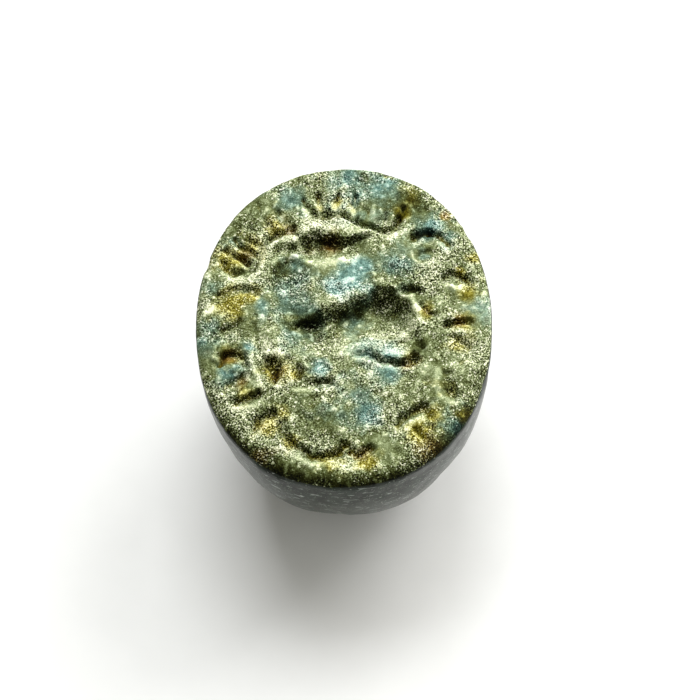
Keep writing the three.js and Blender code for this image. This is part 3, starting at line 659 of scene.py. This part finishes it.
def face_maps():
    """Relief of the face in millimetres, and where each of its finishes lies, painted light and shade among
    them, as flat maps.
    """
    draw = np.random.default_rng(FACE_SEED)
    half_x, half_y = MAP_HALF
    x, y = np.meshgrid(np.arange(-half_x, half_x, MAP_PITCH), np.arange(-half_y, half_y, MAP_PITCH))
    edge_angle = np.arctan2(y, x)
    inside = outline_radius(edge_angle) - np.hypot(x, y)
    # Painted shade: the bottom of the face is darkened along its edge, where it rolls away from the light
    rim = np.clip((-np.sin(edge_angle) - SHADE_RIM_FROM) / SHADE_RIM_OVER, 0, 1)
    rim = rim * np.clip(SHADE_RIM_STRENGTH - inside / SHADE_RIM_WIDTH, 0, SHADE_RIM_MOST)
    # From here on a place is measured from the middle of the carving
    shift_x, shift_y = CARVING_SHIFT
    x, y = x - shift_x, y - shift_y
    broad, middle, fine = (uneven(draw, x.shape, width) for width in UNEVEN_WIDTHS)
    border = np.hypot(x / STAG_OVAL[0], (y - STAG_OVAL_Y) / STAG_OVAL[1])
    border = np.clip(border - BORDER_START, 0, BORDER_MOST)
    # The edges of the cuts wander: the hand that cut them was not quite steady, and the stone has crumbled
    wander_x, wander_y = (sum(far * uneven(draw, x.shape, width) for far, width in WANDER) for _ in "xy")
    cut = joined([groove(x, y, **row) for row in STAG_CUTS], CUT_MEETING)
    outer = joined([groove(x, y, **row) for row in ANTLER_CUTS + BORDER_CUTS], CUT_MEETING)
    cut = joined([cut, OUTER_DEPTH * outer], CUT_MEETING)
    small = joined([groove(x, y, **row) for row in FINE_CUTS], FINE_MEETING)
    ridge = joined([groove(x, y, **row) for row in RIDGES], FINE_MEETING)
    # Pale crust with painted light on the lit lower lips of the cuts
    pale_and_painted_light = []
    for path, width in PALE_AND_LIT_STROKES:
        pale_and_painted_light.append(groove(x, y, path, (width * PALE_WIDTH, width * PALE_WIDTH), (1, 1), 0.0, PALE_FULLNESS))
    depth = blurred(cut, CUT_SOFTNESS) * (1 + CUT_CHANGE * middle) + small - blurred(ridge, RIDGE_SOFTNESS)
    steady = (depth, joined(pale_and_painted_light, FINE_MEETING), dots(draw, x, y, PITS), dots(draw, x, y, GRAINS))
    from_x, from_y = x + shift_x + wander_x, y + shift_y + wander_y
    depth, pale_and_painted_light, pits, grains = (read_map(values, from_x, from_y) for values in steady)
    relief = (BROAD_HEIGHT + BROAD_AT_BORDER * border) * broad
    relief += (MIDDLE_HEIGHT + MIDDLE_AT_BORDER * border) * middle
    relief += FINE_HEIGHT * fine
    relief += GRAIN_HEIGHT * grains - PIT_DEPTH * pits - WORN_AWAY
    height = np.minimum(relief - depth, HIGHEST)
    # Painted shade, with soil, in the recesses: the further a place lies below its softened surroundings,
    # the darker
    near = blurred(height, NEAR_WIDTH) - height
    wide = blurred(height, WIDE_WIDTH) - height
    # Painted shade on the walls that rise towards the top of the face, which face away from the light
    rise = np.gradient(blurred(height, WALL_WIDTH), MAP_PITCH, axis=0)
    recess_soil_and_shade = np.clip(LEVEL_RECESS + near + WIDE_SHARE * wide, 0, MOST_RECESS)
    stain = BORDER_STAIN * border * np.clip(recess_soil_and_shade - STAIN_FROM, 0, 1)
    return {
        "height": height,
        "recess_soil_and_shade": recess_soil_and_shade,
        "wall_shade": np.clip(rise, 0, MOST_WALL_SHADE),
        "pale_and_painted_light": np.clip(pale_and_painted_light, 0, 1),
        "crust": np.clip(grains / FULL_GRAIN, 0, 1),
        "blue": spots(x, y, BLUE_PATCHES),
        "ochre": np.maximum(spots(x, y, OCHRE_PATCHES), stain),
        "rust": spots(x, y, RUST_PATCHES),
        # Pale patches: rubbed or crusted stone, and painted light on the lit floors of the cuts
        "light": spots(x, y, PALE_AND_LIT_PATCHES),
        # Dark patches are soil and painted shade; the rim along the bottom of the face is painted shade
        "dark_soil_and_shade": np.maximum(spots(x, y, SOIL_AND_SHADE_PATCHES), rim),
    }


def read_points(mesh):
    points = np.empty(len(mesh.vertices) * 3)
    mesh.vertices.foreach_get("co", points)
    return points.reshape(-1, 3)


def write_points(mesh, points):
    mesh.vertices.foreach_set("co", points.ravel())
    mesh.update()


def rough_stone():
    """A square grid for the face, with its edge pulled down for the flank and drawn in for the flat spot."""
    bpy.ops.object.select_all(action="DESELECT")
    cells = FACE_CELLS // FINER
    bpy.ops.mesh.primitive_grid_add(x_subdivisions=cells, y_subdivisions=cells, size=2)
    stone = bpy.context.object
    bpy.ops.object.mode_set(mode="EDIT")
    bpy.ops.mesh.select_mode(type="VERT")
    bpy.ops.mesh.select_all(action="SELECT")
    bpy.ops.mesh.region_to_loop()
    for _ in range(FLANK_LOOPS // FINER):
        bpy.ops.mesh.extrude_region_move(TRANSFORM_OT_translate={"value": (0, 0, -FINER / FLANK_LOOPS)})
    bpy.ops.mesh.extrude_region_move()
    bpy.ops.transform.resize(value=(SPOT_LOOP, SPOT_LOOP, 1))
    bpy.ops.mesh.extrude_region_move()
    bpy.ops.mesh.merge(type="CENTER")
    bpy.ops.mesh.select_all(action="SELECT")
    bpy.ops.mesh.normals_make_consistent(inside=False)
    bpy.ops.mesh.subdivide(number_cuts=FINER - 1)
    bpy.ops.object.mode_set(mode="OBJECT")
    return stone


def shape_stone(points, height_map):
    """Moves the points of the square grid to their places on the stone."""
    x, y, level = points.T
    side = np.maximum(np.abs(x), np.abs(y))
    # The square becomes an oval: each of its four sides goes a quarter of the way round
    wide = np.abs(x) >= np.abs(y)
    across = np.where(wide, y / np.where(x == 0, 1, x), x / np.where(y == 0, 1, y))
    angle = np.where(wide, np.where(x < 0, math.pi, 0) + math.pi / 4 * across, 0)
    angle = np.where(wide, angle, np.where(y < 0, -1, 1) * math.pi / 2 - math.pi / 4 * across)
    outline = outline_radius(angle)
    wear = edge_radius(angle)
    edge_turn = np.clip((side - EDGE_START) / (1 - EDGE_START), 0, 1) * math.pi / 2
    face_radius = np.where(
        side < EDGE_START,
        (outline - wear) * side / EDGE_START,
        outline - wear * (1 - np.sin(edge_turn)),
    )
    first_turn = np.arcsin((wear / DOME_DEPTH) ** (DOME_POWER / 2))
    turn = first_turn + (FLAT_SPOT_TURN - first_turn) * np.clip(-level, 0, 1)
    flank_radius = outline * np.cos(turn) ** (2 / DOME_POWER)
    flank_height = FACE_HEIGHT - DOME_DEPTH * np.sin(turn) ** (2 / DOME_POWER)
    spot = (level < -NEARLY_ALL) & (side < NEARLY_ALL)
    on_face = level > -NEARLY_NONE
    radius = np.where(on_face, face_radius, np.where(spot, outline * FLAT_SPOT_SHARE * side, flank_radius))
    placed_x, placed_y = radius * np.cos(angle), radius * np.sin(angle)
    # The relief fades away over the worn edge, which is smooth
    relief = read_map(height_map, placed_x, placed_y) * np.clip(np.cos(edge_turn), 0, 1) ** 0.5
    height = np.where(on_face, face_height(placed_x, placed_y) + relief, np.where(spot, 0, flank_height))
    return np.column_stack([placed_x, placed_y, height])


def waves(points, draw, length):
    """A smooth uneven value in space, from waves of about one length in many directions."""
    ways = draw.standard_normal((WAVE_COUNT, 3))
    turns = 2 * math.pi / length * draw.uniform(*WAVE_SPREAD, WAVE_COUNT)
    ways *= (turns / np.linalg.norm(ways, axis=1))[:, None]
    starts = draw.uniform(0, 2 * math.pi, WAVE_COUNT)
    return np.cos(points @ ways.T + starts).sum(axis=1) / math.sqrt(WAVE_COUNT / 2)


def wear_stone(points):
    """Slow unevenness of the worn flank and back, and the chips at the edge of the face, all inwards."""
    draw = np.random.default_rng(FLANK_SEED)
    z = points[:, 2]
    middle = np.array([0, 0, FACE_HEIGHT * FLANK_MIDDLE])
    outwards = (points - middle) / np.linalg.norm(points - middle, axis=1)[:, None]
    flank = np.clip((FACE_HEIGHT - WEAR_BELOW_FACE - z) / WEAR_FADE, 0, 1)
    flank = flank * np.clip(z / WEAR_ABOVE_SPOT, 0, 1)
    worn = sum(depth * waves(points, draw, length) for length, depth in FLANK_WAVES) + FLANK_INWARDS
    points = points - outwards * (flank * np.clip(worn, 0, 1))[:, None]
    for place, width, depth in EDGE_CHIPS:
        angle = math.radians(place)
        reach = outline_radius(angle) - CHIP_INSIDE
        chip = np.array([reach * math.cos(angle), reach * math.sin(angle), FACE_HEIGHT - CHIP_BELOW])
        away = np.linalg.norm(points - chip, axis=1) / width
        into = np.array([math.cos(angle), math.sin(angle), CHIP_SLOPE])
        points = points - into * (depth * np.clip(1 - away**2, 0, 1))[:, None]
    return points


def hole_cutter():
    """A turned rod along X, wider towards its ends, with the slight rings that a drill leaves."""
    draw = np.random.default_rng(DRILL_SEED)
    bpy.ops.object.select_all(action="DESELECT")
    bpy.ops.mesh.primitive_cylinder_add(
        vertices=HOLE_SIDES,
        radius=1,
        depth=2 * CUTTER_HALF_LENGTH * MM,
        location=(0, 0, HOLE_HEIGHT * MM),
        rotation=(0, math.pi / 2, 0),
    )
    cutter = bpy.context.object
    bpy.ops.object.transform_apply(location=True, rotation=True, scale=True)
    mesh = cutter.data
    bpy.ops.object.mode_set(mode="EDIT")
    bpy.ops.mesh.select_mode(type="EDGE")
    bpy.ops.mesh.select_all(action="DESELECT")
    bpy.ops.object.mode_set(mode="OBJECT")
    # The edges along the rod are the ones whose ends lie apart along X
    ends = np.empty(len(mesh.edges) * 2, int)
    mesh.edges.foreach_get("vertices", ends)
    places = read_points(mesh)[ends, 0].reshape(-1, 2)
    mesh.edges.foreach_set("select", np.ptp(places, axis=1) > MM)
    bpy.ops.object.mode_set(mode="EDIT")
    bpy.ops.mesh.subdivide(number_cuts=HOLE_LOOPS)
    bpy.ops.object.mode_set(mode="OBJECT")
    points = read_points(mesh) / MM
    along = points[:, 0]
    loop = np.rint((along / CUTTER_HALF_LENGTH + 1) / 2 * (HOLE_LOOPS + 1)).astype(int)
    rings = DRILL_RINGS * draw.standard_normal(HOLE_LOOPS + 2)
    flare = np.clip((np.abs(along) - MOUTH_START) / (CUTTER_HALF_LENGTH - MOUTH_START), 0, 1)
    radius = HOLE_RADIUS + (MOUTH_RADIUS - HOLE_RADIUS) * flare + rings[loop]
    around = points[:, 1:] - (0, HOLE_HEIGHT)
    around *= (radius / np.linalg.norm(around, axis=1))[:, None]
    points[:, 1:] = around + (0, HOLE_HEIGHT)
    write_points(mesh, points * MM)
    return cutter


def bore(stone, cutter):
    bpy.ops.object.select_all(action="DESELECT")
    bpy.context.view_layer.objects.active = stone
    stone.select_set(True)
    cut = stone.modifiers.new("hole", "BOOLEAN")
    cut.operation = "DIFFERENCE"
    cut.solver = "MANIFOLD"
    cut.object = cutter
    bpy.ops.object.modifier_apply(modifier=cut.name)
    bpy.data.objects.remove(cutter, do_unlink=True)


def soften_mouths(stone):
    """Rubs down the sharp rim that the drill left at each mouth of the hole."""
    points = read_points(stone.data) / MM
    from_axis = np.hypot(points[:, 1], points[:, 2] - HOLE_HEIGHT)
    at_rim = np.abs(from_axis - MOUTH_RADIUS + RUBBED_RIM_INSIDE) < RUBBED_RIM_WIDTH
    rim = stone.vertex_groups.new(name="rim")
    rim.add(np.flatnonzero((np.abs(points[:, 0]) > MOUTH_START) & at_rim).tolist(), 1.0, "REPLACE")
    rub = stone.modifiers.new("rub", "SMOOTH")
    rub.vertex_group = rim.name
    rub.iterations = RUBBED_RIM_PASSES
    bpy.ops.object.modifier_apply(modifier=rub.name)
    stone.vertex_groups.clear()


def note_finishes(mesh, maps):
    """Keeps on each point where the finishes of the face and the hole lie, for the stone's material."""
    x, y, z = (read_points(mesh) / MM).T
    inside = outline_radius(np.arctan2(y, x)) - np.hypot(x, y)
    below = FACE_HEIGHT - z
    face = np.clip((SKIN_REACH + SKIN_GROWTH * inside - below) / SKIN_FADE, 0, 1)
    face = face * np.clip(SKIN_AT_OUTLINE + inside / SKIN_WIDTH, 0, 1)
    from_axis = np.hypot(y, z - HOLE_HEIGHT)
    finishes = {name: read_map(maps[name], x, y) for name in MAP_FINISHES}
    finishes["face"] = np.where(z < HOLE_HEIGHT + MOUTH_RADIUS, 0, face)
    finishes["bored"] = np.clip((MOUTH_RADIUS + BORE_FADE / 2 - from_axis) / BORE_FADE, 0, 1)
    for name, values in finishes.items():
        attribute = mesh.attributes.new(name, "FLOAT", "POINT")
        attribute.data.foreach_set("value", values.astype(np.float32))


def weathered_serpentine():
    """Dark green soft stone, carved, handled for long and buried: a matt, mottled and crusted face with
    painted light and shade on its carving, and a flank that keeps its satin polish, nearly black with a few
    pale specks and short scratches."""
    material = bpy.data.materials.new("weathered_serpentine")
    material.use_nodes = True
    tree = material.node_tree
    tree.nodes.clear()
    place = add_node(tree, "TexCoord", {}, "Object")
    # Patterns below count in millimetres
    place = add_node(tree, "Mapping", {"Vector": place, "Scale": (1 / MM, 1 / MM, 1 / MM)})
    finish = {name: add_node(tree, "Attribute", {}, "Fac", attribute_name=name) for name in FINISHES}
    noise = {}
    for name, size, detail, roughness in NOISES:
        noise[name] = add_node(
            tree, "TexNoise", {"Vector": place, "Scale": 1 / size, "Detail": detail, "Roughness": roughness}
        )

    # Below, a mix of colours takes its share at 0 and its two colours at 6 and 7, and gives the result at 2.
    # How dark or pale each place is: the mottle and grains of the skin, pale crust and painted light on the
    # lips of the cuts, and dark soil and painted shade in them
    calm = add_node(tree, "MapRange", {"Value": noise["cloud"], **MOTTLE_STRENGTH})
    for name, weight in CALMED_BY.items():
        calm = add_node(tree, "Math", {0: finish[name], 1: weight, 2: calm}, operation="MULTIPLY_ADD")
    calm = add_node(tree, "Math", {0: calm, 1: LEAST_MOTTLE}, operation="MAXIMUM")
    specks = add_node(tree, "MapRange", {"Value": noise["speck"], **PALE_SPECKS})
    loose = add_node(tree, "Math", {0: noise["fine"], 1: MIDDLE_OF_NOISE}, operation="SUBTRACT")
    loose = add_node(tree, "Math", {0: specks, 1: SPECK_SHARE, 2: loose}, operation="MULTIPLY_ADD")
    tone = add_node(tree, "Math", {0: loose, 1: calm}, operation="MULTIPLY")
    tone = add_node(tree, "Math", {0: tone, 1: FINE_WEIGHT, 2: GROUND_TONE}, operation="MULTIPLY_ADD")
    for name, weight in TONE_WEIGHTS.items():
        source = noise[name] if name in noise else finish[name]
        tone = add_node(tree, "Math", {0: source, 1: weight, 2: tone}, operation="MULTIPLY_ADD")
    shares = []
    for low, high in zip(TONE_STEPS, TONE_STEPS[1:]):
        shares.append(add_node(tree, "MapRange", {"Value": tone, "From Min": low, "From Max": high}))
    hues = {}
    for hue, codes in HUES.items():
        hues[hue] = linear(codes[0])
        for share, code in zip(shares, codes[1:]):
            hues[hue] = add_node(tree, "Mix", {0: share, 6: hues[hue], 7: linear(code)}, 2, data_type="RGBA")
    # Blue green where the stone's own colour shows, and ochre and rust where soil has stained it
    colour = hues["green"]
    for hue, breaks in PATCH_BREAKS.items():
        ragged = {0: noise[breaks], 1: PATCH_BREAK, 2: finish[hue]}
        broken = add_node(tree, "Math", ragged, operation="MULTIPLY_ADD")
        share = add_node(tree, "MapRange", {"Value": broken, **PATCH_EDGE})
        colour = add_node(tree, "Mix", {0: share, 6: colour, 7: hues[hue]}, 2, data_type="RGBA")

    # Flank: dark slate with pale specks and short scratches that run round the stone
    parts = [add_node(tree, "SeparateXYZ", {"Vector": place}, axis) for axis in "XYZ"]
    angle = add_node(tree, "Math", {0: parts[1], 1: parts[0]}, operation="ARCTAN2")
    along = add_node(tree, "Math", {0: angle, 1: SCRATCH_STRETCH}, operation="MULTIPLY")
    upwards = add_node(tree, "Math", {0: parts[2], 1: SCRATCH_CROWDING}, operation="MULTIPLY")
    scratch_place = add_node(tree, "CombineXYZ", {"X": along, "Y": upwards})
    scratch = add_node(tree, "TexNoise", {"Vector": scratch_place, **SCRATCH_NOISE})
    scratches = add_node(tree, "MapRange", {"Value": scratch, **SCRATCHES})
    slate_tone = add_node(tree, "MapRange", {"Value": noise["middle"], **SLATE_MOTTLE})
    slate_ends = {6: linear(SLATE[0]), 7: linear(SLATE[1])}
    slate = add_node(tree, "Mix", {0: slate_tone, **slate_ends}, 2, data_type="RGBA")
    rubbed = add_node(tree, "MapRange", {"Value": parts[2], **RUBBED})
    inside_hole = {0: finish["bored"], 1: RUBBED_IN_HOLE, 2: rubbed}
    rubbed = add_node(tree, "Math", inside_hole, operation="MULTIPLY_ADD", use_clamp=True)
    scratches = add_node(tree, "Math", {0: scratches, 1: rubbed}, operation="MULTIPLY")
    slate = add_node(tree, "Mix", {0: scratches, 6: slate, 7: linear(SCRATCH_COLOUR)}, 2, data_type="RGBA")
    few = add_node(tree, "MapRange", {"Value": noise["speck"], **FLANK_SPECKS, "To Max": rubbed})
    slate = add_node(tree, "Mix", {0: few, 6: slate, 7: linear(FLANK_SPECK_COLOUR)}, 2, data_type="RGBA")
    limit = {0: noise["grain"], 1: FACE_RAGGEDNESS, 2: finish["face"]}
    worn = add_node(tree, "Math", limit, operation="MULTIPLY_ADD")
    on_face = add_node(tree, "MapRange", {"Value": worn, **FACE_LIMIT})
    colour = add_node(tree, "Mix", {0: on_face, 6: slate, 7: colour}, 2, data_type="RGBA")

    roughness = add_node(tree, "MapRange", {"Value": on_face, **ROUGHNESS})
    polish = add_node(tree, "Math", {0: rubbed, 1: FLANK_GLOSS}, operation="MULTIPLY")
    gloss = add_node(tree, "MapRange", {"Value": on_face, "To Min": polish, "To Max": FACE_GLOSS})
    strength = add_node(tree, "MapRange", {"Value": on_face, **BUMP_STRENGTH})
    skin = {0: noise["grain"], 1: GRAIN_BUMP, 2: noise["fine"]}
    skin = add_node(tree, "Math", skin, operation="MULTIPLY_ADD")
    normal = add_node(tree, "Bump", {"Strength": strength, "Distance": BUMP_HEIGHT * MM, "Height": skin})
    surface = add_node(
        tree,
        "BsdfPrincipled",
        {
            "Base Color": colour,
            "Roughness": roughness,
            "Specular IOR Level": gloss,
            "Specular Tint": linear(GLOSS_TINT),
            "Normal": normal,
        },
    )
    add_node(tree, "OutputMaterial", {"Surface": surface})
    return material


def white_card():
    """Smooth white card, matt, with a trace of tooth so that it isn't a flat white."""
    material = bpy.data.materials.new("white_card")
    material.use_nodes = True
    tree = material.node_tree
    tree.nodes.clear()
    place = add_node(tree, "TexCoord", {}, "Object")
    tooth = add_node(tree, "TexNoise", {"Vector": place, "Scale": 1 / (CARD_TOOTH * MM), "Detail": 2.0})
    shades = {6: linear(CARD_SHADES[0]), 7: linear(CARD_SHADES[1])}
    shade = add_node(tree, "Mix", {0: tooth, **shades}, 2, data_type="RGBA")
    surface = add_node(tree, "BsdfPrincipled", {"Base Color": shade, "Roughness": CARD_ROUGHNESS})
    add_node(tree, "OutputMaterial", {"Surface": surface})
    return material


def add_floor():
    bpy.ops.object.select_all(action="DESELECT")
    bpy.ops.mesh.primitive_plane_add(size=2)
    floor = bpy.context.object
    floor.name = "floor"
    floor.data.materials.append(white_card())


def add_light(name, place, size, power, colour):
    """A square soft light that faces the stone."""
    data = bpy.data.lights.new(name, "AREA")
    data.size = size * MM
    data.energy = power
    data.color = linear(colour)[:3]
    light = bpy.data.objects.new(name, data)
    place = Vector(place) * MM
    light.location = place
    light.rotation_euler = (place - Vector((0, 0, FACE_HEIGHT * MM))).to_track_quat("Z", "Y").to_euler()
    bpy.context.scene.collection.objects.link(light)


def add_studio():
    scene = bpy.context.scene
    scene.view_settings.view_transform = "Standard"
    world = bpy.data.worlds.new("white room")
    scene.world = world
    world.use_nodes = True
    background = world.node_tree.nodes["Background"]
    background.inputs["Color"].default_value = linear(ROOM_COLOUR)
    background.inputs["Strength"].default_value = ROOM_LIGHT
    for light in LIGHTS:
        add_light(*light)


add_camera()
add_floor()
add_studio()

maps = face_maps()
stone = rough_stone()
stone.name = "carved_stone"
placed = wear_stone(shape_stone(read_points(stone.data), maps["height"]))
write_points(stone.data, placed * MM)
bore(stone, hole_cutter())
soften_mouths(stone)
note_finishes(stone.data, maps)
bpy.ops.object.shade_smooth()
stone.data.materials.clear()
stone.data.materials.append(weathered_serpentine())

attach(stone, "root")
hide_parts("seal_stone")
